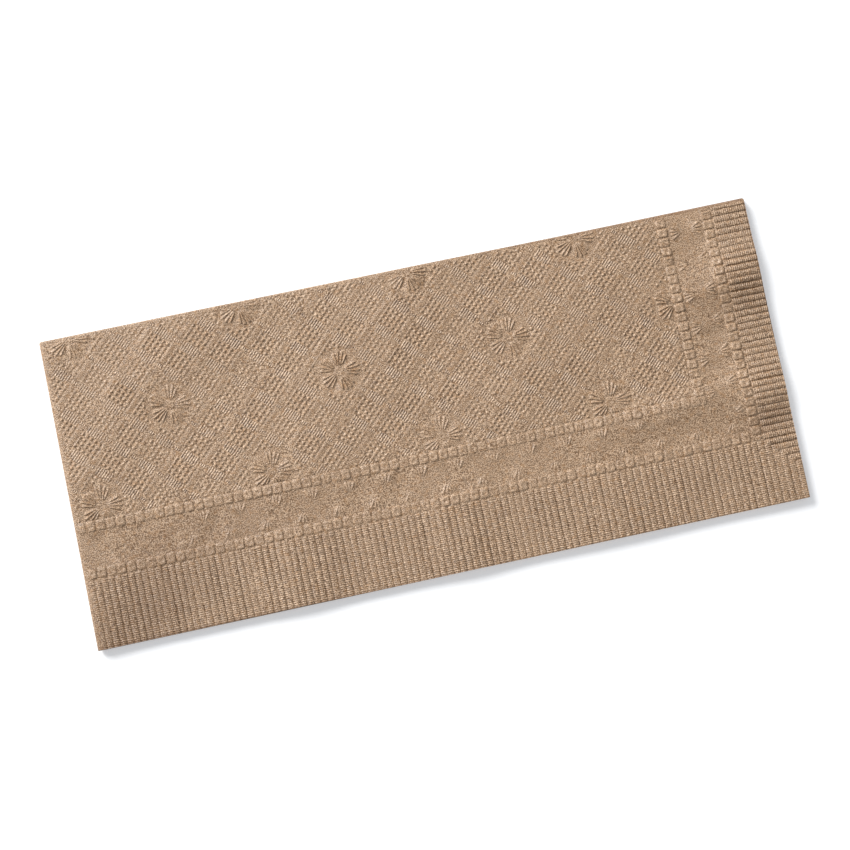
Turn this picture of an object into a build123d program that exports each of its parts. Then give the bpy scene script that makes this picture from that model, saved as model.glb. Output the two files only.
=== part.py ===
# A brown kraft paper napkin, folded to an eighth and lying flat.
# X runs along the length, from the cross fold to the eight free ends.
# Y runs across, from the long side where edges lie open to the folded long side.
# Z is up. The origin is under the middle of the folded napkin, and z = 0 is where it rests.
# All sizes are in millimetres, and all angles in degrees.
import os
from math import cos, hypot, pi, sin

from build123d import *

os.makedirs("parts", exist_ok=True)

# Folded size
folded_length = 215.9
folded_width = 94.2

# Paper: one bulky embossed sheet, and the air left between two leaves
sheet_thickness = 0.2
leaf_gap = 0.1

# How far the inner leaf's free edge stays short of the outer leaf's along the open side
inner_edge_set_back = 0.5

# A pressed fold is a half-round of this many flats
flats_in_fold = 3

# Embossing, pressed into the outer face of the sheet
emboss_depth = 0.11

# Ribbed border: its width along the open long side and at the free ends
rib_border_side = 20.5
rib_border_end = 10.3
rib_pitch = 2.0
rib_groove_width = 0.7

# Two rows of squares beside the ribs, with a plain band between them
square_pitch = 2.93
square_row_width = 3.2
square_groove_width = 0.55
plain_band_width = 10.7

# Tufts: pairs of leaves that stand on each row and close to a point in the plain band
tuft_pitch_side = 10.9
tuft_pitch_end = 10.1
tuft_height = 4.0
tuft_leaf_length = 3.1
tuft_leaf_width = 0.8
tuft_leaf_angles = (-14, 14)
outer_tuft_start = 15.5
inner_tuft_start = 10.7

# Daisies: five petals, each a fan of radial lines, on a staggered lattice
flower_pitch = 51.43
flower_radius = 6.3
flower_eye_radius = 2.1
flower_line_width = 0.75
first_flower_x = 8.4
first_flower_y = 41.1
petal_count = 5
petal_line_angles = (-21, -7, 7, 21)
outer_line_share = 0.85

# Bars of the woven ground: short diagonal strokes between the daisies
bars_in_flower_pitch = 4
bar_length = 7.4
bar_width = 1.8
bar_slope = 45

# Bare paper kept between the embossing and a fold or a row
motif_clearance = 0.4

# Cutting tools start this far above the paper
clear_above = 0.02

# Levels of the stack: four leaves above the middle plane and four below
leaves_in_strip = 4
leaf_step = sheet_thickness + leaf_gap
half_stack = leaves_in_strip * leaf_step - leaf_gap / 2
top_z = 2 * half_stack

# Ends of the flat part of the outer leaf
left_x = -folded_length / 2
right_x = folded_length / 2
open_y = -folded_width / 2
closed_y = folded_width / 2
fold_line_x = left_x + half_stack
wrap_line_y = closed_y - ((leaves_in_strip - 1) * leaf_step + sheet_thickness) / 2

# How far the edges of the two rows lie inside the ribbed border
outer_row_end = square_row_width
inner_row_start = outer_row_end + plain_band_width
inner_row_end = inner_row_start + square_row_width


def turn(y, z_from, z_to, way):
    """Points round a fold, from one level to the other, bulging along way.

    Its flats lie on the outside of a true half-round, so the fold keeps its full reach.
    """
    step = pi / (flats_in_fold + 1)
    radius = (z_from - z_to) / 2 / cos(step / 2)
    middle = (z_from + z_to) / 2
    angles = [step * (i + 0.5) for i in range(flats_in_fold + 1)]
    return [(y + way * abs(radius) * sin(a), middle + radius * cos(a)) for a in angles]


def strip_section():
    """Outline across the strip of four leaves: the sheet folded in half, then in half again.

    Leaves from the top: the outer one, the inner one with its free edge, that one's
    fold-mate, and the one that the outer leaf wraps round to.
    """
    half = sheet_thickness / 2
    outer, inner, mate, wrapped = (
        top_z - half - number * leaf_step for number in range(leaves_in_strip)
    )
    inner_free_y = open_y + inner_edge_set_back
    turn_line_y = open_y + (leaf_step + sheet_thickness) / 2
    points = [(open_y, outer - half), (open_y, outer + half)]
    points += turn(wrap_line_y, outer + half, wrapped - half, 1)
    points += turn(turn_line_y, wrapped - half, mate + half, -1)
    points += turn(wrap_line_y, mate + half, inner - half, 1)
    points += [(inner_free_y, inner - half), (inner_free_y, inner + half)]
    points += turn(wrap_line_y, inner + half, mate - half, 1)
    points += turn(turn_line_y, mate - half, wrapped + half, -1)
    points += turn(wrap_line_y, wrapped + half, outer - half, 1)
    return Face(Wire.make_polygon([Vector(fold_line_x, y, z) for y, z in points], close=True))


def corner(distance):
    """Corner of the L-shaped line that runs this far inside the ribbed border."""
    return right_x - rib_border_end - distance, open_y + rib_border_side + distance


def steps(start, stop, pitch):
    """Places from start towards stop, one pitch apart, start itself among them."""
    way = 1 if stop > start else -1
    return [start + way * pitch * i for i in range(int(abs(stop - start) / pitch) + 1)]


def tool_reach(half_width):
    """Half-width of a tool with sloping flanks where it starts, just above the paper."""
    return half_width * (emboss_depth + clear_above) / emboss_depth


def comb(centres, width, run_from, run_to, along_x):
    """V-grooves at these centres, all cut by the teeth of one bar."""
    reach = tool_reach(width / 2)
    first, last = min(centres) - width, max(centres) + width
    profile = [(first, clear_above), (first, 2 * clear_above)]
    profile += [(last, 2 * clear_above), (last, clear_above)]
    for c in sorted(centres, reverse=True):
        profile += [(c + reach, clear_above), (c, -emboss_depth), (c - reach, clear_above)]
    if along_x:
        points = [Vector(run_from, c, top_z + z) for c, z in profile]
        way = (1, 0, 0)
    else:
        points = [Vector(c, run_from, top_z + z) for c, z in profile]
        way = (0, 1, 0)
    bar_end = Face(Wire.make_polygon(points, close=True))
    return extrude(bar_end, amount=run_to - run_from, dir=way)


def rib_tools():
    """Ribs across the open long side and along the free ends, parted by a mitre."""
    x_in, y_in = corner(0)
    side_ribs = comb(
        steps(fold_line_x + rib_pitch / 2, right_x - rib_groove_width, rib_pitch),
        rib_groove_width, open_y - rib_pitch, y_in, along_x=False,
    )
    end_ribs = comb(
        steps(open_y + rib_pitch / 2, wrap_line_y - rib_groove_width, rib_pitch),
        rib_groove_width, x_in, right_x + rib_pitch, along_x=True,
    )
    drop = rib_border_end + 2 * rib_pitch
    mitred = [(x_in, y_in), (x_in + drop, y_in - drop), (x_in + drop, closed_y), (x_in, closed_y)]
    outline = Face(Wire.make_polygon([Vector(x, y, 0) for x, y in mitred], close=True))
    end_zone = extrude(outline, amount=2 * top_z, dir=(0, 0, 1))
    return [side_ribs - end_zone, end_ribs & end_zone]


def lens(length, width):
    """A pit with four flanks under a long diamond, centred on the paper's face."""
    a = tool_reach(length / 2)
    b = tool_reach(width / 2)
    rim = [Vector(a, 0, clear_above), Vector(0, b, clear_above)]
    rim += [Vector(-a, 0, clear_above), Vector(0, -b, clear_above)]
    rim = Wire.make_polygon(rim, close=True)
    return Solid.make_loft([rim, Vertex(0, 0, -emboss_depth)], ruled=True)


def row_tools(start, end):
    """One row of squares: a groove along each edge of the row, and a pit between squares."""
    first_x = fold_line_x + motif_clearance
    last_y = wrap_line_y - motif_clearance
    reach = tool_reach(square_groove_width / 2)
    profile = [(-reach, clear_above), (0, -emboss_depth), (reach, clear_above)]
    tools = []
    for distance in (start, end):
        x, y = corner(distance)
        path = Polyline((first_x, y, top_z), (x, y, top_z), (x, last_y, top_z))
        tip = Wire.make_polygon([Vector(first_x, y + c, top_z + z) for c, z in profile], close=True)
        tools.append(sweep(Face(tip), path=path, transition=Transition.RIGHT))
    pit = lens(end - start - 2 * square_groove_width, square_groove_width)
    x_middle, y_middle = corner((start + end) / 2)
    x_in, y_in = corner(end)
    for x in steps(x_in, first_x + square_groove_width, square_pitch):
        tools.append(pit.moved(Location((x, y_middle, top_z), (0, 0, 90))))
    for y in steps(y_in, last_y - square_groove_width, square_pitch):
        tools.append(pit.moved(Location((x_middle, y, top_z))))
    return tools


def tuft_tools():
    """Leaf pairs along both rows, each pair pointing away from its squares."""
    leaf = lens(tuft_leaf_length, tuft_leaf_width)
    leaf_middle = Location((tuft_leaf_length / 2 - tuft_height, 0, 0))
    point = Location((tuft_height, 0, 0))
    tools = []

    def tuft(x, y, heading):
        stand = Location((x, y, top_z), (0, 0, heading)) * point
        for angle in tuft_leaf_angles:
            tools.append(leaf.moved(stand * Location((0, 0, 0), (0, 0, angle)) * leaf_middle))

    for distance, start, over in ((outer_row_end, outer_tuft_start, 0),
                                  (inner_row_start, inner_tuft_start, 180)):
        x, y = corner(distance)
        for place in steps(x - start, fold_line_x + tuft_height, tuft_pitch_side):
            tuft(place, y, 90 + over)
        for place in steps(y + start, wrap_line_y - tuft_height, tuft_pitch_end):
            tuft(x, place, 180 + over)
    return tools


def flower_centres():
    """The staggered lattice of daisies: the corners and the middles of a square net."""
    half = flower_pitch / 2
    centres = []
    for row in range(int(folded_width / half) + 1):
        for column in range(int(folded_length / flower_pitch) + 1):
            x = left_x + first_flower_x + column * flower_pitch + (row % 2) * half
            centres.append((x, open_y + first_flower_y + row * half))
    return centres


def in_field(x, y):
    """True if a spot is on the flat field, clear of the inner row and the folds."""
    x_end, y_start = corner(inner_row_end + motif_clearance)
    on_length = fold_line_x + motif_clearance < x < x_end
    return on_length and y_start < y < wrap_line_y - motif_clearance


def flower_tools():
    """Radial lines of every daisy. A line that would reach a border or a fold is left out."""
    widest = max(petal_line_angles)
    tools = []
    for angle in petal_line_angles:
        length = flower_radius - flower_eye_radius
        if abs(angle) == widest:
            length *= outer_line_share
        line = lens(length, flower_line_width)
        for x, y in flower_centres():
            for petal in range(petal_count):
                ray = Location((x, y, top_z), (0, 0, petal * 360 / petal_count + angle))
                root = (ray * Location((flower_eye_radius, 0, 0))).position
                tip = (ray * Location((flower_eye_radius + length, 0, 0))).position
                if in_field(root.X, root.Y) and in_field(tip.X, tip.Y):
                    tools.append(line.moved(ray * Location((flower_eye_radius + length / 2, 0, 0))))
    return tools


def bar_tools():
    """Diagonal strokes of the woven ground, kept clear of the daisies."""
    bar = lens(bar_length, bar_width)
    step = flower_pitch / bars_in_flower_pitch
    flowers = flower_centres()
    rows = int(2 * folded_width / step) + 1
    ends = [Location((offset, 0, 0)) for offset in (-bar_length / 2, 0, bar_length / 2)]
    tools = []
    for row in range(-rows, rows):
        for column in range(-1, int(folded_length / step) + 1):
            x = left_x + first_flower_x + (column + (row % 2) / 2 + 0.25) * step
            y = open_y + first_flower_y + (row + 0.5) * step / 2
            place = Location((x, y, top_z), (0, 0, bar_slope))
            spots = [(place * end).position for end in ends]
            nearest = min(hypot(s.X - fx, s.Y - fy) for s in spots for fx, fy in flowers)
            if nearest > flower_radius + bar_width / 2 and all(in_field(s.X, s.Y) for s in spots):
                tools.append(bar.moved(place))
    return tools


def napkin():
    """The upper four leaves, their mirror image below, and the fold that joins the two.

    The face that it lies on has the ribs and the row beside them only.
    """
    section = strip_section()
    strip = extrude(section, amount=right_x - fold_line_x, dir=(1, 0, 0))
    strip -= rib_tools()
    strip -= row_tools(0, outer_row_end)
    lower = strip.mirror(Plane.XY.offset(half_stack))
    upper = strip - row_tools(inner_row_start, inner_row_end)
    upper -= bar_tools()
    upper -= tuft_tools()
    upper -= flower_tools()
    fold_axis = Axis((fold_line_x, 0, half_stack), (0, -1, 0))
    cross_fold = revolve(section, fold_axis, 180)
    return (upper + cross_fold + lower).solid()


result = napkin()
result.label = "napkin"
export_step(result, "parts/napkin.step")
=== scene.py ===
# %% [markdown]
# # A folded paper napkin
# The real thing is one sheet of brown tissue. It was run between two engraved rolls, which
# pressed a pattern of ribs, squares, daisies and woven lozenges into it, and was then folded
# in half, in half again, and once across. So eight leaves lie on each other: the left end is
# the last fold, and at the right end all eight leaves end in cut edges.
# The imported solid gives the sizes. This script makes the same folded sheet with round folds,
# air between its leaves and the pattern standing up from it, and gives it its paper.

from math import cos, pi, radians, sin, sqrt

import bmesh
import bpy
import numpy as np
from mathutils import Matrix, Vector


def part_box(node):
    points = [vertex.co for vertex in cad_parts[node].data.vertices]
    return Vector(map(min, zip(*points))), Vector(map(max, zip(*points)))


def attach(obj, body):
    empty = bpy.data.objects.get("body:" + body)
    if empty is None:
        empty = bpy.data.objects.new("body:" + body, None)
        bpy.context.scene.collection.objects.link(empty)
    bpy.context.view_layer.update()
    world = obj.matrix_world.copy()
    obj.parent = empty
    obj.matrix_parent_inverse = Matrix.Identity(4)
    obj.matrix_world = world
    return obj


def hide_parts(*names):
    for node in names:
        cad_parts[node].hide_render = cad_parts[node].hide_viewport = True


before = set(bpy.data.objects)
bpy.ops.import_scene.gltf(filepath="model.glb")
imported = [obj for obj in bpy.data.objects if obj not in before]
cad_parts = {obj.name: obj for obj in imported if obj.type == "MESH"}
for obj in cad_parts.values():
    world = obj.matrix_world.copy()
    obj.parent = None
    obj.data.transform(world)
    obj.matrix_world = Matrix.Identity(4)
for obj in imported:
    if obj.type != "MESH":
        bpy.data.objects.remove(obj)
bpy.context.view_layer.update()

# The script works in millimetres, and scales the finished mesh once.
mm = 0.001
low, high = (np.array(corner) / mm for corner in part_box("napkin"))
length, width, thickness = (float(size) for size in high - low)
print("folded size, mm:", round(length, 2), round(width, 2), round(thickness, 2))

# %% [markdown]
# ## Where the leaves lie
# A cut across the napkin shows four leaves above the last fold and four below it. The outer
# leaf wraps round the others along the far long side. Along the near long side its own cut
# edge lies open, above the edge of the next leaf and one more fold.
# The section is one closed outline of the sheet's edge: it goes along the face of each leaf and
# turns at each fold. Only its points are listed. The operators make the body from it.

# %% The section across the four upper leaves
sheet = 0.2
leaf_gap = 0.1
leaf_step = sheet + leaf_gap
middle_z = thickness / 2
fold_x = -length / 2 + middle_z
near_y = -width / 2
wrap_y = width / 2 - (3 * leaf_step + sheet) / 2
turn_y = near_y + (leaf_step + sheet) / 2
inner_edge_y = near_y + 0.5
steps_in_turn = 6


def turn(y, z_from, z_to, way):
    """Points round a fold between two levels, bulging along way."""
    radius = (z_from - z_to) / 2
    angles = [pi * i / steps_in_turn for i in range(steps_in_turn + 1)]
    return [(y + way * abs(radius) * sin(a), z_to + radius + radius * cos(a)) for a in angles]


outer, inner, mate, wrapped = (thickness - sheet / 2 - i * leaf_step for i in range(4))
half = sheet / 2
section = [(near_y, outer - half), (near_y, outer + half)]
section += turn(wrap_y, outer + half, wrapped - half, 1)
section += turn(turn_y, wrapped - half, mate + half, -1)
section += turn(wrap_y, mate + half, inner - half, 1)
section += [(inner_edge_y, inner - half), (inner_edge_y, inner + half)]
section += turn(wrap_y, inner + half, mate - half, 1)
section += turn(turn_y, mate - half, wrapped + half, -1)
section += turn(wrap_y, wrapped + half, outer - half, 1)
print("points in the section:", len(section))

# %% [markdown]
# ## The folded body
# One long extrusion along X draws the section out into the upper leaves, spin takes it half a
# turn round the last fold, and a second extrusion draws the lower leaves back. The result is
# one closed sheet. The long edges are then cut across. The face that shows is cut finely,
# because the pattern will be pushed up in it. What lies below gets longer steps.

# %% Draw the section out, round the fold and back
fine_step = 0.3
under_step = 2 * fine_step
hidden_cut = 9.0

bm = bmesh.new()
ring = [bm.verts.new((length / 2, y, z)) for y, z in section]
edges = [bm.edges.new((a, b)) for a, b in zip(ring, ring[1:] + ring[:1])]
face_edge = edges[1]
others = [e for e in edges if e is not face_edge and e.calc_length() > 2 * hidden_cut]
bmesh.ops.subdivide_edges(bm, edges=[face_edge], cuts=int((wrap_y - near_y) / fine_step))
bmesh.ops.subdivide_edges(bm, edges=others, cuts=int(width / hidden_cut))
bmesh.ops.contextual_create(bm, geom=list(bm.edges))


def only(kind, items):
    return [item for item in items if isinstance(item, kind)]


def draw_out(ring_edges, run, step):
    """Extrudes a ring of edges along X, cuts the run into steps, and returns the far ring."""
    made = bmesh.ops.extrude_edge_only(bm, edges=ring_edges)["geom"]
    far = only(bmesh.types.BMVert, made)
    far_edges = [e for e in only(bmesh.types.BMEdge, made) if set(e.verts) <= set(far)]
    bmesh.ops.translate(bm, verts=far, vec=(run, 0, 0))
    long_edges = [e for v in far for e in v.link_edges if e.calc_length() > abs(run) - step]
    bmesh.ops.subdivide_edges(bm, edges=long_edges, cuts=int(abs(run) / step))
    return far_edges


ends = draw_out(list(bm.edges), fold_x - length / 2, fine_step)
made = bmesh.ops.spin(
    bm, geom=ends, cent=(fold_x, 0, middle_z), axis=(0, -1, 0),
    dvec=(0, 0, 0), angle=pi, steps=14, use_merge=False,
)
ends = draw_out(only(bmesh.types.BMEdge, made["geom_last"]), length / 2 - fold_x, under_step)
bmesh.ops.contextual_create(bm, geom=ends)
bmesh.ops.recalc_face_normals(bm, faces=bm.faces)
print("faces drawn:", len(bm.faces))

napkin_mesh = bpy.data.meshes.new("napkin_sheet")
bm.to_mesh(napkin_mesh)
bm.free()
spots = np.empty(3 * len(napkin_mesh.vertices))
napkin_mesh.vertices.foreach_get("co", spots)
spots = spots.reshape(-1, 3)
print("lowest and highest spot:", spots.min(0).round(2), spots.max(0).round(2))

# %% [markdown]
# ## Helpers for the pattern
# The pattern is a height for each spot of the sheet, as the engraver would see it: so far from
# the last fold, so far from the open side. Each motif is a few smooth shapes. A ramp climbs
# from one level to another, a ridge is a rounded wall along a line, and a pad is a flat island
# with soft shoulders. Wrap folds a distance back into one repeat, so that a motif written once
# stands in every repeat.
# Ribs and squares could be modelled one by one and joined on. On real paper they are the sheet
# itself, so a height that moves the sheet's own vertices is truer, and leaves no seams.

# %% Ramp, ridge, pad and wrap


def ramp(value, low, high):
    """0 below low, 1 above high, and smooth between."""
    part = np.clip((value - low) / (high - low), 0, 1)
    return part * part * (3 - 2 * part)


def ridge(off, half_width):
    """1 on the line, 0 from half_width on."""
    return np.cos(pi / 2 * np.clip(np.abs(off) / half_width, 0, 1)) ** 2


def pad(off, half_width, shoulder):
    """1 within half_width, falling to 0 over the shoulder inside it."""
    return ramp(-np.abs(off), -half_width, shoulder - half_width)


def wrap(value, period):
    """The distance to the nearest of the places one period apart."""
    return value - period * np.round(value / period)


print("a ridge from its line to its foot:", ridge(np.linspace(0, 1, 5), 1).round(2))

# %% [markdown]
# ## The border
# Ribs run to the open long side and to the free ends, and meet in a mitre. Two rows of squares
# follow them round the corner, with a plain band between, where small tufts of leaves stand on
# each row. The roll ran a third of a degree off square, so everything leans a little. Where a
# size differs between the two borders, a pair gives the long side first, then the free ends.

# %% Ribs, squares and tufts
ribs_side = 20.1
ribs_end = 10.3
rib_pitch = 2.01
rib_start = (100.9, 52.32)
groove_half = 0.42
rib_runout = 0.35
square_pitch = 2.96
square_half = (1.34, 1.62)
square_power = 6
square_top = 0.08
hollow_share = 0.55
hollow_reach = 0.95
row_width = 3.45
plain_band = 10.55
second_row = row_width + plain_band
field_start = second_row + row_width
square_rows = ((0, 95.5, 60.35), (second_row, 94.94, 60.55))
lean_centre = (97.85, 73.29)
lean_across = 0.0096
lean_up = 0.0058
most_lean_up = 0.26
tuft_reach = 4.4
tufts_from = (18, 42)
tuft_leaves = ((9, 3.5), (29, 3.8))
leaf_start = 0.8
leaf_foot = 0.15
leaf_spread = 0.13
outer_tufts = ((12.5, 10.9), (29.7, 9.75))
inner_tufts = ((48.5, 11.0), (48.0, 10.05))


def unrolled(x, y):
    """From a place on the sheet to the place on the engraved roll."""
    across = x + lean_across * (y - lean_centre[1])
    return across, y + np.minimum(lean_up * (x - lean_centre[0]), most_lean_up)


def border_place(x, y):
    """How far inside the ribs a spot is, and how far along whichever border is nearer."""
    from_side = y - ribs_side
    from_end = length - ribs_end - x
    at_side = from_side < from_end
    return np.where(at_side, from_side, from_end), np.where(at_side, x, y), at_side


def ribs(inside, along, at_side):
    off = wrap(along - np.where(at_side, *rib_start), rib_pitch)
    crest = 1 - (2 * np.abs(off) / rib_pitch) ** 2
    body = 0.7 * (1 - ridge(off, groove_half)) + 0.3 * (1 - crest)
    return body * ramp(-inside, 0, rib_runout)


def squares(inside, along, gap_at):
    a = wrap(along - gap_at - square_pitch / 2, square_pitch)
    b = inside - row_width / 2
    reach = (a / square_half[0]) ** square_power + (b / square_half[1]) ** square_power
    return ramp(-reach, -1, -square_top) - hollow_share * ridge(np.hypot(a, b), hollow_reach)


def tufts(foot, along, first, pitch):
    """Leaves that stand on a row and close to a point, foot being the height above the row."""
    place = np.abs(wrap(along - first, pitch))
    down = tuft_reach - foot
    best = np.zeros_like(foot)
    for angle, reach in tuft_leaves:
        c, s = cos(radians(angle)), sin(radians(angle))
        out = down * c + place * s
        off = place * c - down * s
        leaf = ridge(out - leaf_start - reach / 2, reach / 2) ** 0.5
        wide = leaf_foot + leaf_spread * np.clip(out, 0, tuft_reach)
        best = np.maximum(best, leaf * ridge(off, wide))
    return best * (foot > 0)


print("ribs along the long side:", round(length / rib_pitch), "and up the free ends:",
      round((width - ribs_side) / rib_pitch))

# %% [markdown]
# ## The field
# Rows of lozenges lie at 45 degrees. Each lozenge is a block of small dots between two rails,
# with fine hatching between one block and the next, and a smooth bar parts the rows. On a wider
# staggered net the ground stays plain and a daisy stands in it: five petals, each a fan of four
# rays. The hatching is too fine for the mesh, so it comes later, in the material.

# %% Daisies and lozenges
cell = 9.093
block_middle = 0.05
block_half = 3.05
block_soft = 0.2
block_across = 3.6
dot_pitch = 1.475
first_dot = 0.78
dot_half = 0.64
dot_squash = 0.9
rail_half = 0.36
bar_half = (1.05, 3.85)
bar_middle = 0.1
bar_soft = 0.6
daisy_pitch = 51.43
first_daisy = (8.9, 41.2)
field_centre = (98.35, 72.79)
daisy_ground = 7.2
petal_angles = (0, 77, 150, 216, 290)
ray_angles = (-20, -7, 7, 20)
inner_ray = (1.7, 6.3)
outer_ray = (2.2, 5.7)
ray_foot = 0.2
ray_spread = 0.055
ring_at = 1.05
ring_half = 0.55
ring_share = 0.45


def daisy_place(x, y):
    """Offsets to the nearest daisy, on a net that has one in each middle too."""
    dx = wrap(x - first_daisy[0], daisy_pitch)
    dy = wrap(y - first_daisy[1], daisy_pitch)
    mx = wrap(dx - daisy_pitch / 2, daisy_pitch)
    my = wrap(dy - daisy_pitch / 2, daisy_pitch)
    middle = np.hypot(mx, my) < np.hypot(dx, dy)
    return np.where(middle, mx, dx), np.where(middle, my, dy)


def daisy(dx, dy):
    out = np.hypot(dx, dy)
    heading = np.degrees(np.arctan2(dy, dx))
    best = np.zeros_like(out)
    for petal in petal_angles:
        for ray in ray_angles:
            off_angle = wrap(heading - petal - ray, 360)
            off = out * np.sin(np.radians(np.clip(off_angle, -60, 60)))
            start, stop = inner_ray if abs(ray) < 10 else outer_ray
            body = ramp(out, start - 0.3, start + 0.7) * ramp(-out, -stop - 0.1, 0.5 - stop)
            wide = ray_foot + ray_spread * out
            best = np.maximum(best, body * ridge(off, wide) * (np.abs(off_angle) < 60))
    return best + ring_share * ridge(out - ring_at, ring_half)


def lozenges(x, y):
    """Dots, rails and bars, each with its own height."""
    p, q = x - field_centre[0], y - field_centre[1]
    u, v = (p + q) / sqrt(2), (p - q) / sqrt(2)
    in_u, in_v = wrap(u, cell), wrap(v, cell)
    block = pad(in_u - block_middle, block_half, block_soft) * (np.abs(in_v) < block_across)
    off = np.hypot(wrap(in_u - first_dot, dot_pitch) * dot_squash, wrap(in_v, dot_pitch))
    dots = dot_height * ridge(off, dot_half) * block
    rails = rail_height * ridge(np.abs(in_v) - block_half, rail_half)
    bars = bar_height * pad(wrap(v - cell / 2, cell), bar_half[0], bar_soft)
    bars = bars * pad(wrap(u - bar_middle, cell), bar_half[1], bar_soft)
    return np.maximum(np.maximum(dots, rails), bars)


print("dots in a block:", round(2 * block_half / dot_pitch) ** 2)

# %% [markdown]
# ## Heights
# The rolls press about a quarter of a millimetre deep. The ribs and the squares at the free
# ends came out deeper than those on the long side. Near the inner corner the pattern fades, where
# the napkin was squeezed in its pack, and near the last fold there are no tufts left. No two ribs
# or squares are equally sharp either, so each draws its own share from a seeded list. All motifs
# come together in one function.

# %% The whole relief
wear_waves = ((0.31, 0.17, 0.4), (-0.13, 0.37, 2.1), (0.71, -0.29, 4.0), (0.05, 0.83, 1.2))
wave_range = (-0.55, 0.45)
flattest = 0.75
faded_corner = (192, 33, 16)
corner_loss = 0.6
rib_height = 0.21
square_height = 0.20
tuft_height = 0.22
dot_height = 0.34
rail_height = 0.05
bar_height = 0.15
ray_height = 0.32
deeper_at_end = 1.4
luckiest = 1.2
spread = 0.6
luck = np.random.default_rng(5).random(997)
square_count_from = 95.2


def piece_number(x, y):
    """A number for each rib, square and lozenge, so that each can have its own luck."""
    across, up = unrolled(x, y)
    inside, along, at_side = border_place(across, up)
    p, q = across - field_centre[0], up - field_centre[1]
    block = 31 * np.round((p + q) / sqrt(2) / cell) + 7 * np.round((p - q) / sqrt(2) / cell)
    rib = np.round((along - np.where(at_side, *rib_start)) / rib_pitch - 0.5)
    square = np.round((along - square_count_from) / square_pitch - 0.5)
    square = square + 200 * (inside > row_width)
    return np.where(inside < 0, rib, np.where(inside < field_start, square, block)).astype(int)


def wear(x, y):
    """How much of its full height the pattern has kept in a place."""
    waves = sum(np.sin(a * x + b * y + start) for a, b, start in wear_waves)
    kept = flattest + (1 - flattest) * ramp(waves / len(wear_waves), *wave_range)
    kept = kept * (luckiest - spread * luck[piece_number(x, y) % len(luck)])
    corner_x, corner_y, reach = faded_corner
    return kept * (1 - corner_loss * ridge(np.hypot(x - corner_x, y - corner_y), reach))


def relief(x, y):
    """Height of the pattern at a place so far from the last fold and from the open side."""
    kept = wear(x, y)
    x, y = unrolled(x, y)
    inside, along, at_side = border_place(x, y)
    deeper = np.where(at_side, 1.0, deeper_at_end)
    height = rib_height * deeper * ribs(inside, along, at_side)
    for start, *gaps in square_rows:
        gap_at = np.where(at_side, *gaps)
        height = height + square_height * deeper * squares(inside - start, along, gap_at)
    on_outer = [np.where(at_side, *pair) for pair in zip(*outer_tufts)]
    on_inner = [np.where(at_side, *pair) for pair in zip(*inner_tufts)]
    leaves = tufts(inside - row_width, along, *on_outer)
    leaves = np.maximum(leaves, tufts(second_row - inside, along, *on_inner))
    in_band = (inside > row_width) & (inside < second_row)
    height = height + tuft_height * leaves * in_band * ramp(x, *tufts_from)
    dx, dy = daisy_place(x, y)
    ground = lozenges(x, y) * ramp(np.hypot(dx, dy), daisy_ground - 0.3, daisy_ground + 0.3)
    in_field = ramp(inside, field_start + 0.1, field_start + 0.4)
    return kept * (height + in_field * (ground + ray_height * daisy(dx, dy)))


sample = relief(*np.meshgrid(np.linspace(5, 205, 200), np.linspace(5, 90, 85)))
print("relief from", round(sample.min(), 2), "to", round(sample.max(), 2), "mm")

# %% [markdown]
# ## Soft swells
# Eight leaves of tissue never lie quite flat. The free ends stand a little apart, and a few
# long, low swells cross the sheet, which the light picks out. Each swell is written as the
# place of its middle, its heading, half its length, half its width and its height. Soft dark
# patches of painted shade are added to the colour as well, to deepen the broad shading of the
# sheet. They are written the same way, with the share by which they darken instead of a height.
# A cloth simulation could raise swells too, but a folded stack hardly moves, and hills that are
# drawn stay where they were put.

# %% Where the stack swells
swells = (
    (-4, 8, 90, 20, 14, 0.9),
    (62, 8, 90, 20, 12, 0.8),
    (113, 8, 90, 20, 12, 0.8),
    (158, 8, 90, 20, 20, 0.5),
    (28, 74, 44, 60, 14, 0.5),
    (92, 66, 44, 60, 14, 0.4),
    (150, 62, 40, 50, 14, 0.4),
    (186, 35.2, 8, 38, 6.5, 0.85),
    (208, 72, 14, 20, 9, 1.3),
    (210, 33, 8, 14, 6, 0.9),
)
fan_of_free_ends = 0.30
fan_length = 30
hill_falls = 1.5
# Painted shade: soft dark patches, each with the share by which it darkens the colour.
painted_dark_patches = (
    (14, 7, 20, 26, 13, 0.35),
    (30, 26, 3, 45, 9, 0.20),
    (74, 8, 90, 20, 7, 0.06),
    (209, 64, 10, 13, 7, 0.18),
    (208, 26, 14, 14, 5, 0.28),
    (192, 29, 8, 20, 4, 0.02),
    (197, 68, 90, 26, 5, 0.07),
)


def soft_hills(x, y, hills):
    """The sum of long soft hills, each so high in its middle."""
    total = np.zeros_like(x)
    for middle_x, middle_y, heading, half_long, half_wide, height in hills:
        c, s = cos(radians(heading)), sin(radians(heading))
        dx, dy = x - middle_x, y - middle_y
        far = ((dx * c + dy * s) / half_long) ** 2 + ((dy * c - dx * s) / half_wide) ** 2
        total = total + height * np.exp(-hill_falls * far)
    return total


def swelling(x, y):
    """How much higher than flat the top of the stack lies."""
    fan = fan_of_free_ends * ramp(x, length - fan_length, length)
    return soft_hills(x, y, swells) + fan


# The places of thick pulp are the painted dark patches, a painted shade.
print("swells:", len(swells), "places of thick pulp:", len(painted_dark_patches))

# %% [markdown]
# ## Press the pattern in
# Those on the top face go up by the relief, those underneath go down by it, and then the whole
# stack is stretched upwards by the swells, so no leaf cuts its neighbour. The pattern fades out
# just before each fold, where the paper is rolled tight. The last fold was made a little off
# square, so the lower leaves peep out past the folded long side towards the free ends. Decimate
# then thins the mesh where it is flat, so that the faces go to the pattern. Two attributes tell
# the material what the mesh knows: how much of the pattern a spot has kept, and how much painted
# shade it gets. That is the soft dark patches, and the edges of the lower leaves, where shade
# falls between the leaves, at the far fold and at the free ends.

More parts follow.
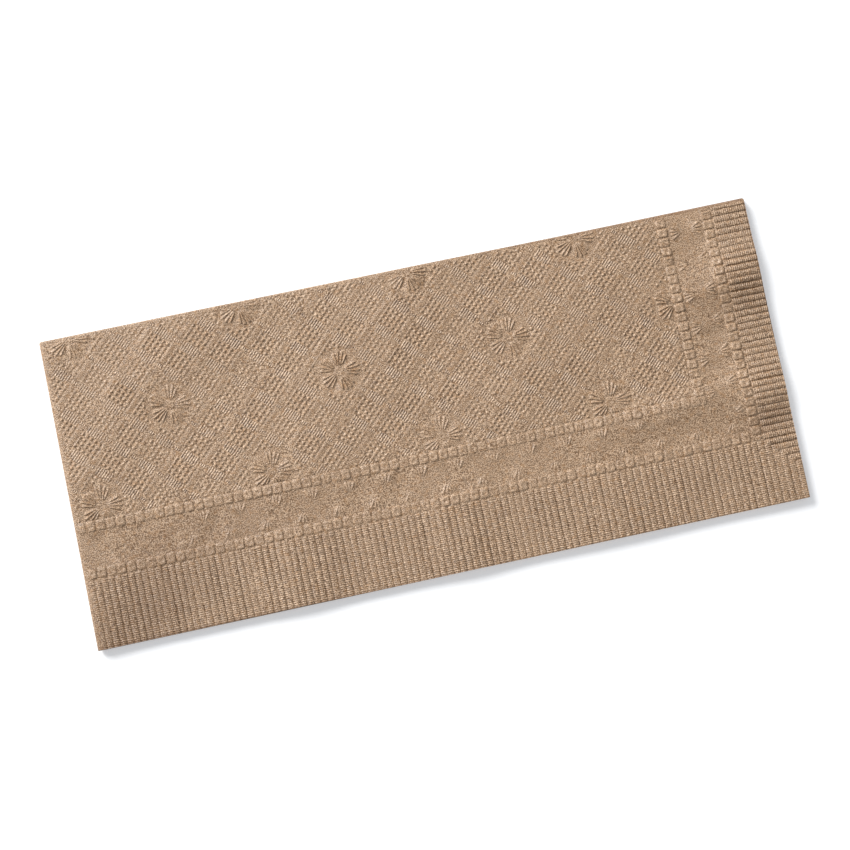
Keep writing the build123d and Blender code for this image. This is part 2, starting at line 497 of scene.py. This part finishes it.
# %% Relief and swells
fold_fade = 1.2
under_share = 0.6
off_square = 0.5
painted_edge_shade = 0.35
face_level = 0.001
face_budget = 186_000

from_fold = spots[:, 0] + length / 2
from_open = spots[:, 1] + width / 2


def clear_of_folds(x, y):
    """0 on the last fold and on the folded long side, 1 a little way in."""
    return ramp(x, fold_x, fold_x + fold_fade) * ramp(-y, -wrap_y, fold_fade - wrap_y)


raised = relief(from_fold, from_open) * clear_of_folds(spots[:, 0], spots[:, 1])
lower_leaves = spots[:, 2] < middle_z
on_top = spots[:, 2] > thickness - face_level
beneath = spots[:, 2] < face_level
spots[on_top, 2] += raised[on_top]
spots[beneath, 2] -= under_share * raised[beneath]
spots[:, 2] -= spots[:, 2].min()
spots[:, 2] *= 1 + swelling(from_fold, from_open) / thickness
spots[lower_leaves, 1] += off_square * (from_fold[lower_leaves] / length) ** 2
napkin_mesh.vertices.foreach_set("co", spots.ravel())
napkin_mesh.update()
share = wear(from_fold, from_open) * clear_of_folds(spots[:, 0], spots[:, 1])
share *= on_top + under_share * beneath
# Painted shade: the dark patches, and the edges of the lower leaves at the far fold and at the
# free ends, where shade falls between the leaves.
painted_shade = soft_hills(from_fold, from_open, painted_dark_patches)
painted_shade[lower_leaves & (spots[:, 1] > wrap_y)] += painted_edge_shade
painted_shade[~on_top & (spots[:, 0] > length / 2 - 0.01)] += painted_edge_shade
for name, values in (("shown_share", share), ("painted_shade", painted_shade)):
    layer = napkin_mesh.attributes.new(name, "FLOAT", "POINT")
    layer.data.foreach_set("value", values)

napkin = bpy.data.objects.new("folded_napkin", napkin_mesh)
bpy.context.scene.collection.objects.link(napkin)
triangles = sum(len(face.vertices) - 2 for face in napkin_mesh.polygons)
thin = napkin.modifiers.new("thin", "DECIMATE")
thin.ratio = face_budget / triangles
shown = napkin.evaluated_get(bpy.context.evaluated_depsgraph_get())
thinned = bpy.data.meshes.new_from_object(shown)
napkin.modifiers.clear()
napkin.data = thinned
kept_triangles = sum(len(face.vertices) - 2 for face in thinned.polygons)
print("triangles before and after:", triangles, kept_triangles)

# %% [markdown]
# ## Pattern coordinates and the last set of the sheet
# The material needs to know where the pattern lies, so each spot's place on the engraved roll
# is kept in a UV map, in millimetres. After that the four corners are eased: folded by hand or
# by machine, a paper napkin is never a true rectangle.

# %% Keep the pattern's places, ease the corners, scale
corner_ease = {
    (-1, 1): (-0.14, -0.16),
    (1, 1): (0.72, -0.61),
    (-1, -1): (-0.18, -0.08),
    (1, -1): (-0.36, 0.83),
}

spots = np.empty(3 * len(thinned.vertices))
thinned.vertices.foreach_get("co", spots)
spots = spots.reshape(-1, 3)
on_roll = np.stack(unrolled(spots[:, 0] + length / 2, spots[:, 1] + width / 2), 1)
corners_of = np.empty(len(thinned.loops), dtype=int)
thinned.loops.foreach_get("vertex_index", corners_of)
roll_map = thinned.uv_layers.new(name="roll")
roll_map.data.foreach_set("uv", on_roll[corners_of].ravel())

eased = spots.copy()
for (side_x, side_y), (move_x, move_y) in corner_ease.items():
    share = (0.5 + side_x * spots[:, 0] / length) * (0.5 + side_y * spots[:, 1] / width)
    eased[:, 0] += share * move_x
    eased[:, 1] += share * move_y
thinned.vertices.foreach_set("co", (eased * mm).ravel())
thinned.update()
thinned.polygons.foreach_set("use_smooth", [True] * len(thinned.polygons))
thinned.set_sharp_from_angle(angle=radians(60))
print("size, mm:", (eased.max(0) - eased.min(0)).round(2))

# %% [markdown]
# ## Brown tissue
# Unbleached pulp is a warm grey brown, and close up it is not one colour: pale and dark fibres
# lie across each other, with a few dark specks of bark. A picture of paper could give that, but
# noise has no seams and no edge, so it stays sharp at any distance. First come small helpers
# that keep the node tree short to write. They match ramp, ridge and wrap above.

# %% Node helpers
paper = bpy.data.materials.new("kraft_tissue")
paper.use_nodes = True
nodes, links = paper.node_tree.nodes, paper.node_tree.links
nodes.clear()


def node(kind, **settings):
    made = nodes.new(kind)
    for name, value in settings.items():
        setattr(made, name, value)
    return made


def feed(socket, value):
    """Links a socket to another, or sets it to a number."""
    if isinstance(value, bpy.types.NodeSocket):
        links.new(value, socket)
    else:
        socket.default_value = value


def math(operation, *values):
    made = node("ShaderNodeMath", operation=operation)
    for socket, value in zip(made.inputs, values):
        feed(socket, value)
    return made.outputs[0]


def times(a, b):
    return math("MULTIPLY", a, b)


def plus(a, b):
    return math("ADD", a, b)


def near(value, period):
    """Distance to the nearest of the places one period apart, with its sign."""
    return math("SUBTRACT", value, times(math("ROUND", math("DIVIDE", value, period)), period))


def soft_step(value, low, high):
    made = node("ShaderNodeMapRange", interpolation_type="SMOOTHSTEP")
    feed(made.inputs["Value"], value)
    made.inputs["From Min"].default_value = low
    made.inputs["From Max"].default_value = high
    return made.outputs["Result"]


def cosine_lines(value, pitch):
    return plus(times(math("COSINE", times(value, 2 * pi / pitch)), 0.5), 0.5)


def hill(off, half_width):
    """1 on the line, 0 from half_width on, as ridge does for the mesh."""
    return soft_step(math("ABSOLUTE", off), half_width, 0)


def length_of(a, b):
    return math("SQRT", plus(times(a, a), times(b, b)))


def choose(test, first, second):
    """first where test is 1, second where it is 0."""
    return plus(times(test, first), times(math("SUBTRACT", 1, test), second))


place = node("ShaderNodeTexCoord").outputs["Object"]
print("material:", paper.name)


def noise(scale, detail=2.0, rough=0.5, stretch=None, turn=0.0):
    """Noise of so many features a metre, stretched and turned in the sheet's plane if asked."""
    made = node("ShaderNodeTexNoise")
    made.inputs["Scale"].default_value = scale
    made.inputs["Detail"].default_value = detail
    made.inputs["Roughness"].default_value = rough
    at = place
    if stretch:
        mapping = node("ShaderNodeMapping")
        feed(mapping.inputs["Vector"], place)
        mapping.inputs["Scale"].default_value = stretch
        mapping.inputs["Rotation"].default_value = (0, 0, radians(turn))
        at = mapping.outputs["Vector"]
    links.new(at, made.inputs["Vector"])
    return made.outputs["Fac"]


# %% [markdown]
# ## The sharp edges of the pattern
# The mesh carries the body of each motif, but the rolls cut crisper edges than its steps of a
# third of a millimetre can hold. So the same motifs stand once more as a bump, on the places
# that the UV map keeps, faded where the mesh fades them. Hatching between the lozenge blocks,
# ticks between two bars and the cross lines on the ribs are only here.

# %% Where on the roll, and the ribs
hatch_pitch = 0.74
tick_pitch = 0.6
cross_pitch = 0.63

roll = node("ShaderNodeUVMap", uv_map="roll").outputs["UV"]
split = node("ShaderNodeSeparateXYZ")
links.new(roll, split.inputs[0])
roll_x, roll_y = split.outputs["X"], split.outputs["Y"]
shown = node("ShaderNodeAttribute", attribute_name="shown_share").outputs["Fac"]

from_side = math("SUBTRACT", roll_y, ribs_side)
from_end = math("SUBTRACT", length - ribs_end, roll_x)
inside = math("MINIMUM", from_side, from_end)
at_side = math("LESS_THAN", from_side, from_end)
along = choose(at_side, roll_x, roll_y)
across = choose(at_side, roll_y, roll_x)

on_ribs = soft_step(inside, 0, -rib_runout)
rib_off = near(math("SUBTRACT", along, choose(at_side, *rib_start)), rib_pitch)
grooves = times(hill(rib_off, groove_half), on_ribs)
cross_lines = times(cosine_lines(across, cross_pitch), on_ribs)
print("nodes with the ribs:", len(nodes))

# %% Rows of squares and tufts


def square_row(start, gap_side, gap_end):
    middle = plus(choose(at_side, gap_side, gap_end), square_pitch / 2)
    a = near(math("SUBTRACT", along, middle), square_pitch)
    b = math("SUBTRACT", inside, start + row_width / 2)
    far_a = math("POWER", math("ABSOLUTE", times(a, 1 / square_half[0])), square_power)
    far_b = math("POWER", math("ABSOLUTE", times(b, 1 / square_half[1])), square_power)
    pillow = soft_step(plus(far_a, far_b), 1, square_top)
    return math("SUBTRACT", pillow, times(hill(length_of(a, b), hollow_reach), hollow_share))


def tuft_row(foot, on_side, on_end):
    off_side = near(math("SUBTRACT", roll_x, on_side[0]), on_side[1])
    off_end = near(math("SUBTRACT", roll_y, on_end[0]), on_end[1])
    place_off = math("ABSOLUTE", choose(at_side, off_side, off_end))
    down = math("SUBTRACT", tuft_reach, foot)
    best = 0
    for angle, reach in tuft_leaves:
        c, s = cos(radians(angle)), sin(radians(angle))
        out = plus(times(down, c), times(place_off, s))
        off = math("SUBTRACT", times(place_off, c), times(down, s))
        leaf = hill(math("SUBTRACT", out, leaf_start + reach / 2), reach / 2)
        wide = plus(times(math("MAXIMUM", out, 0), leaf_spread), leaf_foot)
        leaf = times(math("SQRT", leaf), hill(math("DIVIDE", off, wide), 1))
        best = math("MAXIMUM", leaf, best)
    return times(best, math("GREATER_THAN", foot, 0))


rows = plus(square_row(*square_rows[0]), square_row(*square_rows[1]))
on_outer = tuft_row(math("SUBTRACT", inside, row_width), *outer_tufts)
on_inner = tuft_row(math("SUBTRACT", second_row, inside), *inner_tufts)
in_band = times(math("GREATER_THAN", inside, row_width), math("LESS_THAN", inside, second_row))
leaves = times(math("MAXIMUM", on_outer, on_inner), in_band)
leaves = times(leaves, soft_step(roll_x, *tufts_from))
print("nodes with the border:", len(nodes))

# %% Dots, hatching and ticks
sharp_dot_half = 0.62
sharp_dots_across = 2.9
hatching_from = (2.95, 3.2)
hatched_lines = 7
tick_shift = 4.4
tick_half = (0.45, 0.9)

p = math("SUBTRACT", roll_x, field_centre[0])
q = math("SUBTRACT", roll_y, field_centre[1])
u = times(plus(p, q), 1 / sqrt(2))
v = times(math("SUBTRACT", p, q), 1 / sqrt(2))
in_u, in_v = near(u, cell), near(v, cell)
far_u, far_v = math("ABSOLUTE", in_u), math("ABSOLUTE", in_v)
from_middle = math("ABSOLUTE", math("SUBTRACT", in_u, block_middle))
in_block = soft_step(from_middle, block_half, block_half - block_soft)
in_block = times(in_block, math("LESS_THAN", far_v, sharp_dots_across))
dot_off = length_of(near(math("SUBTRACT", in_u, first_dot), dot_pitch), near(in_v, dot_pitch))
dots = times(hill(dot_off, sharp_dot_half), in_block)
rails = hill(math("SUBTRACT", far_v, block_half), rail_half)

in_lines = math("LESS_THAN", far_v, hatched_lines * hatch_pitch / 2)
beside_block = times(soft_step(far_u, *hatching_from), in_lines)
hatching = times(cosine_lines(in_v, hatch_pitch), beside_block)
bar_v = near(math("SUBTRACT", v, cell / 2), cell)
tick_u = math("ABSOLUTE", near(plus(u, tick_shift), cell))
in_ticks = math("LESS_THAN", tick_u, tick_half[0])
in_ticks = times(in_ticks, math("LESS_THAN", math("ABSOLUTE", bar_v), tick_half[1]))
ticks = times(cosine_lines(bar_v, tick_pitch), in_ticks)
print("nodes with the lozenges:", len(nodes))

# %% [markdown]
# ## Daisies in nodes
# Twenty rays need not be drawn one by one. Two nets of daisies give two distances, and the
# shorter one counts. The angle to the nearest petal is folded on that petal's middle line, so
# that two rays stand for its four, and the nearer of the two is the one to draw.

# %% Daisies

def from_daisies(start_x, start_y):
    dx = near(math("SUBTRACT", roll_x, start_x), daisy_pitch)
    dy = near(math("SUBTRACT", roll_y, start_y), daisy_pitch)
    return dx, dy, length_of(dx, dy)


half_pitch = daisy_pitch / 2
dx, dy, out_first = from_daisies(*first_daisy)
middle_dx, middle_dy, out_middle = from_daisies(*(start + half_pitch for start in first_daisy))
is_first = math("LESS_THAN", out_first, out_middle)
dx, dy = choose(is_first, dx, middle_dx), choose(is_first, dy, middle_dy)
out = math("MINIMUM", out_first, out_middle)
heading = times(math("ARCTAN2", dy, dx), 180 / pi)
off_petal = 360
for petal in petal_angles:
    turned = math("ABSOLUTE", near(math("SUBTRACT", heading, petal), 360))
    off_petal = math("MINIMUM", turned, off_petal)
inner_off = math("ABSOLUTE", math("SUBTRACT", off_petal, ray_angles[2]))
outer_off = math("ABSOLUTE", math("SUBTRACT", off_petal, ray_angles[3]))
is_inner = math("LESS_THAN", inner_off, outer_off)
ray_off = times(out, math("SINE", times(math("MINIMUM", inner_off, outer_off), pi / 180)))
ray_wide = plus(times(out, ray_spread), ray_foot)
reach_out = math("SUBTRACT", out, choose(is_inner, inner_ray[1] - 0.2, outer_ray[1] - 0.2))
reach_in = math("SUBTRACT", out, choose(is_inner, inner_ray[0], outer_ray[0]))
rays = times(hill(math("DIVIDE", ray_off, ray_wide), 1), soft_step(reach_out, 0.3, -0.2))
rays = times(rays, soft_step(reach_in, -0.3, 0.6))

in_field = soft_step(inside, field_start + 0.1, field_start + 0.4)
in_ground = times(in_field, soft_step(out, daisy_ground - 0.2, daisy_ground + 0.3))
fine_lines = times(plus(hatching, ticks), in_ground)
print("nodes with the daisies:", len(nodes))

# %% The sharp pattern in one height, in millimetres
painted_highlight_share = 0.18
block_highlight_share = 0.06

ground = times(plus(dots, times(rails, rail_height / dot_height)), in_ground)
crisp = plus(times(ground, dot_height), times(times(rays, in_field), ray_height))
border = times(plus(rows, leaves), square_height)
border = math("SUBTRACT", border, times(grooves, rib_height))
border = times(border, choose(at_side, 1, deeper_at_end))
crisp = times(plus(crisp, border), shown)
# Painted highlight: the raised tops of the pattern, and the dot blocks a little, are tinted
# towards the pale fibre colour.
crest = times(soft_step(crisp, 0.03, 0.27), painted_highlight_share)
crest = plus(crest, times(times(in_block, in_ground), block_highlight_share))
print("nodes with the pattern:", len(nodes))

# %% [markdown]
# ## The colour of the fibres
# Two noises are stretched and turned, one for each way that the fibres lie. A fine grain, a
# coarser felt and a faint cloud come on top, and a ramp turns the sum into three browns. A wider
# noise drifts the hue, since some flakes of pulp are rustier and some greyer than the rest.

# %% Fibres
paper_dark = (0.165, 0.091, 0.045, 1)
paper_mid = (0.393, 0.249, 0.146, 1)
paper_light = (0.705, 0.498, 0.330, 1)
paper_warm = (0.46, 0.255, 0.115, 1)
paper_cool = (0.38, 0.272, 0.182, 1)
# The dark brown of the painted shade.
painted_shade_colour = (0.085, 0.026, 0.0, 1)
speck_colour = (0.090, 0.055, 0.032, 1)
edge_colour = (0.16, 0.072, 0.026, 1)
rust_colour = (0.46, 0.22, 0.085, 1)

cloud = noise(60, detail=3)
felt = noise(1700, detail=4, rough=0.7)
fibres = noise(2600, detail=2, rough=0.6, stretch=(0.3, 1.5, 1), turn=18)
fibres_across = noise(2600, detail=2, rough=0.6, stretch=(0.3, 1.5, 1), turn=-52)
fine = noise(3700, detail=0)

mixed = plus(times(felt, 0.05), plus(times(fibres, 0.21), times(fibres_across, 0.19)))
mixed = plus(plus(mixed, times(fine, 0.53)), times(cloud, 0.02))
tint = node("ShaderNodeValToRGB")
links.new(mixed, tint.inputs["Fac"])
stops = tint.color_ramp.elements
stops[0].position, stops[0].color = 0.41, paper_dark
stops[1].position, stops[1].color = 0.59, paper_light
middle_stop = stops.new(0.50)
middle_stop.color = paper_mid
hue_share = 0.5
rust_share = 0.55


def blend(share, first, second):
    made = node("ShaderNodeMix", data_type="RGBA")
    feed(made.inputs["Factor"], share)
    for socket, value in zip(made.inputs[6:8], (first, second)):
        feed(socket, value)
    return made.outputs[2]


rust = soft_step(noise(2200, detail=1, stretch=(0.3, 2.2, 1), turn=70), 0.66, 0.74)
hue = noise(700, detail=2, rough=0.7)
colour = blend(times(soft_step(hue, 0.52, 0.72), hue_share), tint.outputs["Color"], paper_warm)
colour = blend(times(soft_step(hue, 0.48, 0.28), hue_share), colour, paper_cool)
colour = blend(times(rust, rust_share), colour, rust_colour)
print("nodes with the fibres:", len(nodes))

# %% [markdown]
# ## Specks, pressed places and rubbed edges
# Specks are the middles of Voronoi cells, and most cells are given none. The raised tops of the
# pattern are painted lighter, a painted highlight, and what the rolls pressed down is painted
# darker, a painted shade, as are the dark patches and leaf edges that the mesh passes on. A thin
# darker rusty line runs along the cut edges and along part of the far fold.

# %% Specks, painted highlight, painted shade and edge lines
speck_share = 0.75
groove_shade_share = 0.15
edge_line_share = 0.45

specks = node("ShaderNodeTexVoronoi", feature="F1")
links.new(place, specks.inputs["Vector"])
specks.inputs["Scale"].default_value = 190
big_enough = node("ShaderNodeSeparateColor")
links.new(specks.outputs["Color"], big_enough.inputs[0])
speck_size = times(soft_step(big_enough.outputs["Red"], 0.55, 1.0), 0.062)
is_speck = math("LESS_THAN", specks.outputs["Distance"], speck_size)
colour = blend(times(is_speck, speck_share), colour, speck_colour)
# Painted highlight: the raised tops are blended lighter.
colour = blend(crest, colour, paper_light)
painted_shade = node("ShaderNodeAttribute", attribute_name="painted_shade").outputs["Fac"]
# Painted shade: the pressed-down grooves and hollows, and the dark patches and leaf edges of the
# mesh attribute, are blended towards a dark brown.
painted_groove_shade = soft_step(crisp, -0.02, -0.2)
colour = blend(plus(times(painted_groove_shade, groove_shade_share), painted_shade), colour, painted_shade_colour)
# A thin darker rusty line along the cut edges and along part of the far fold.
from_cut = math("MINIMUM", roll_y, math("SUBTRACT", length, roll_x))
on_far_fold = times(soft_step(roll_y, width - 0.8, width - 0.3), soft_step(roll_x, 90, 190))
dark_edge_line = math("MAXIMUM", soft_step(from_cut, 0.55, 0.15), on_far_fold)
colour = blend(times(dark_edge_line, edge_line_share), colour, edge_colour)
print("nodes with the colour:", len(nodes))

# %% [markdown]
# ## Bumps and gloss
# The noises that tint the fibres also roughen them. The bumps follow one another: the fibres,
# the sharp edges of the pattern, and its finest lines. Tissue is matt, but fibres that the rolls
# have pressed flat catch the light on slopes that face it, so the gloss is not nothing.

# %% Bumps and shader
grain_depth = 0.00022
edge_depth = 0.00066
line_depth = 0.00015
cross_depth = 0.00012


def bump(height, depth, below=None):
    """A bump so many metres deep, on top of another if asked."""
    made = node("ShaderNodeBump")
    made.inputs["Strength"].default_value = 1
    made.inputs["Distance"].default_value = depth
    feed(made.inputs["Height"], height)
    if below:
        links.new(below, made.inputs["Normal"])
    return made.outputs["Normal"]


grain = bump(mixed, grain_depth)
sharp_edges = bump(crisp, edge_depth, grain)
lines = bump(times(fine_lines, shown), line_depth, sharp_edges)
lines = bump(times(cross_lines, shown), cross_depth, lines)

shader = node("ShaderNodeBsdfPrincipled")
links.new(colour, shader.inputs["Base Color"])
links.new(lines, shader.inputs["Normal"])
shader.inputs["Roughness"].default_value = 0.40
shader.inputs["Specular IOR Level"].default_value = 0.6
output = node("ShaderNodeOutputMaterial")
links.new(shader.outputs["BSDF"], output.inputs["Surface"])
thinned.materials.clear()
thinned.materials.append(paper)
print("nodes in the paper:", len(nodes))

# %% [markdown]
# ## What the piece is
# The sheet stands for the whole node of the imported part. Opened out it is about 17 by 15
# inches. It rides on the only body there is.

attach(napkin, "root")
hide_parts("napkin")

# %% [markdown]
# ## Floor, light and camera
# The napkin lies on a plain pale table. One wide soft box stands up and to the left, and a pale
# room fills the rest, so the shadow is short and soft. The table also glows a little, like a
# light table: that keeps the shadow pale while the light on the paper stays mostly one-sided,
# which is what shows an embossed pattern. The camera looks almost straight down. Light and
# camera are placed against the shadow's reach and the four corners.

# %% Floor
floor_mesh = bpy.data.meshes.new("floor")
bm = bmesh.new()
bmesh.ops.create_grid(bm, x_segments=1, y_segments=1, size=3)
bm.to_mesh(floor_mesh)
bm.free()
floor = bpy.data.objects.new("floor", floor_mesh)
bpy.context.scene.collection.objects.link(floor)
card = bpy.data.materials.new("pale_floor")
card.use_nodes = True
card_shader = card.node_tree.nodes["Principled BSDF"]
card_shader.inputs["Base Color"].default_value = (0.94, 0.94, 0.94, 1)
card_shader.inputs["Roughness"].default_value = 0.9
card_shader.inputs["Specular IOR Level"].default_value = 0.1
card_shader.inputs["Emission Color"].default_value = (0.95, 0.99, 1.04, 1)
card_shader.inputs["Emission Strength"].default_value = 0.34
floor_mesh.materials.append(card)
print("floor:", tuple(round(side, 2) for side in floor.dimensions))

# %% Light
light_way = Vector((-0.61, 0.79, 0.66)).normalized()
key_distance = 4.0
key_data = bpy.data.lights.new("soft_box", "AREA")
key_data.shape = "DISK"
key_data.size = 2.6
key_data.energy = 215
key = bpy.data.objects.new("soft_box", key_data)
key.location = light_way * key_distance
key.rotation_euler = light_way.to_track_quat("Z", "Y").to_euler()
bpy.context.scene.collection.objects.link(key)

room = bpy.data.worlds.new("pale_room")
room.use_nodes = True
room.node_tree.nodes["Background"].inputs["Color"].default_value = (0.97, 0.98, 1.0, 1)
room.node_tree.nodes["Background"].inputs["Strength"].default_value = 0.34
bpy.context.scene.world = room
bpy.context.scene.view_settings.view_transform = "Standard"
print("soft box stands", round(light_way.z * key_distance, 2), "m above the table")

# %% Camera
camera_data = bpy.data.cameras.new("camera")
camera_data.sensor_width = 36
camera_data.lens = 99.93
camera_data.clip_start = 0.01
camera = bpy.data.objects.new("camera", camera_data)
camera.location = (-0.02735, -0.09432, 0.700)
camera.rotation_euler = [radians(turned) for turned in (7.8802, -0.6095, -11.9889)]
bpy.context.scene.collection.objects.link(camera)
bpy.context.scene.camera = camera
print("camera's height, m:", camera.location.z)
